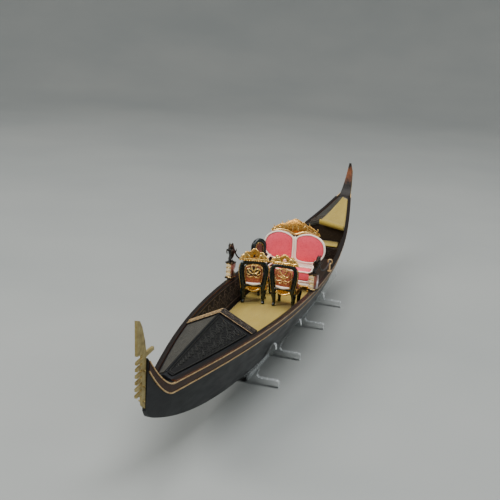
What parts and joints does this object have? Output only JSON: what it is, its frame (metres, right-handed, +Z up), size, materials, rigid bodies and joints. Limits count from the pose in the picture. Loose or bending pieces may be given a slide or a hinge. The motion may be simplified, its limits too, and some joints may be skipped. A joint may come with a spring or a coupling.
{
  "type": "souvenir gondola figurine",
  "caption": "Model gondola with a toothed bow iron, gabled decks, sea horses and doll-size gilt furniture, on two clear cradle stands.",
  "frame": {"origin": "on the table, under the middle of the whole object's box", "axes": "+X towards the bow, +Y to port, +Z up"},
  "size_m": [0.4552, 0.0646, 0.0935],
  "materials": {
    "clear_acrylic": "clear polished cast acrylic",
    "black_lacquer": "glossy black lacquer",
    "gold_trim": "gold paint line",
    "brown_band": "dark brown lacquer",
    "gunwale_brown": "reddish-brown lacquered rail",
    "dark_carving": "black carved relief",
    "dark_moulding": "dark moulding with thin gold lines",
    "grey_panel": "dark satin panel with fine texture",
    "yellow_carpet": "short yellow pile carpet",
    "dark_wood": "dark stained wood",
    "bow_brass": "aged brass",
    "cream_and_gilt": "cream blocks with gilt bands",
    "dark_bronze": "dark patinated bronze",
    "black_cord": "fine black cord",
    "cream_paint": "cream paint with a pink tint",
    "pink_fabric": "pink satin",
    "gilt": "bright gilt casting",
    "black_chair_lacquer": "black lacquer",
    "rose_brocade": "rose brocade with gold ornament",
    "red_brown_fabric": "red-brown velvet"
  },
  "bodies": {
    "stands": {"front_stand_aft_cradle": "clear_acrylic", "front_stand_fore_cradle": "clear_acrylic", "front_stand_stretcher": "clear_acrylic", "rear_stand_aft_cradle": "clear_acrylic", "rear_stand_fore_cradle": "clear_acrylic", "rear_stand_stretcher": "clear_acrylic"},
    "gondola": {"aft_bulkhead": "dark_wood", "aft_deck": "black_lacquer", "aft_deck_panel": "dark_carving", "aft_locker": "dark_wood", "bow_iron": "bow_brass", "bow_iron_rivets": "bow_brass", "cockpit_carpet": "yellow_carpet", "floorboards": "dark_wood", "fore_bulkhead": "dark_wood", "foredeck": "black_lacquer", "foredeck_moulding": "dark_moulding", "foredeck_port_panel": "dark_carving", "foredeck_starboard_panel": "grey_panel", "gold_lines": "gold_trim", "hull": "black_lacquer", "locker_carpet": "yellow_carpet", "port_cord": "black_cord", "port_gunwale_cap": "gunwale_brown", "port_lining": "dark_carving", "port_pedestal": "cream_and_gilt", "port_sea_horse": "dark_bronze", "ring_eyes": "gold_trim", "sheer_bands": "brown_band", "starboard_cord": "black_cord", "starboard_gunwale_cap": "gunwale_brown", "starboard_lining": "dark_carving", "starboard_pedestal": "cream_and_gilt", "starboard_sea_horse": "dark_bronze", "stem_post": "black_lacquer", "stern_carpet": "yellow_carpet", "stern_post": "black_lacquer", "stern_strips": "gold_trim"},
    "love_seat": {"love_seat_crest": "gilt", "love_seat_cushion": "pink_fabric", "love_seat_frame": "cream_paint", "love_seat_port_arm": "cream_paint", "love_seat_port_back": "pink_fabric", "love_seat_starboard_arm": "cream_paint", "love_seat_starboard_back": "pink_fabric"},
    "port_chair": {"port_chair_apron": "gilt", "port_chair_back_pad": "rose_brocade", "port_chair_crest": "gilt", "port_chair_frame": "black_chair_lacquer", "port_chair_seat_pad": "rose_brocade"},
    "starboard_chair": {"starboard_chair_apron": "gilt", "starboard_chair_back_pad": "rose_brocade", "starboard_chair_crest": "gilt", "starboard_chair_frame": "black_chair_lacquer", "starboard_chair_seat_pad": "rose_brocade"},
    "side_chair": {"side_chair_back_pad": "red_brown_fabric", "side_chair_frame": "black_chair_lacquer", "side_chair_seat_pad": "red_brown_fabric"}
  },
  "joints": [
    {"name": "gondola_lift", "type": "slide", "parent": "stands", "child": "gondola", "axis": [0, 0, 1], "range_m": [0, 0.06]},
    {"name": "love_seat_lift", "type": "slide", "parent": "gondola", "child": "love_seat", "axis": [0, 0, 1], "range_m": [0, 0.05]},
    {"name": "port_chair_lift", "type": "slide", "parent": "gondola", "child": "port_chair", "axis": [0, 0, 1], "range_m": [0, 0.05]},
    {"name": "starboard_chair_lift", "type": "slide", "parent": "gondola", "child": "starboard_chair", "axis": [0, 0, 1], "range_m": [0, 0.05]},
    {"name": "side_chair_lift", "type": "slide", "parent": "gondola", "child": "side_chair", "axis": [0, 0, 1], "range_m": [0, 0.05]}
  ]
}
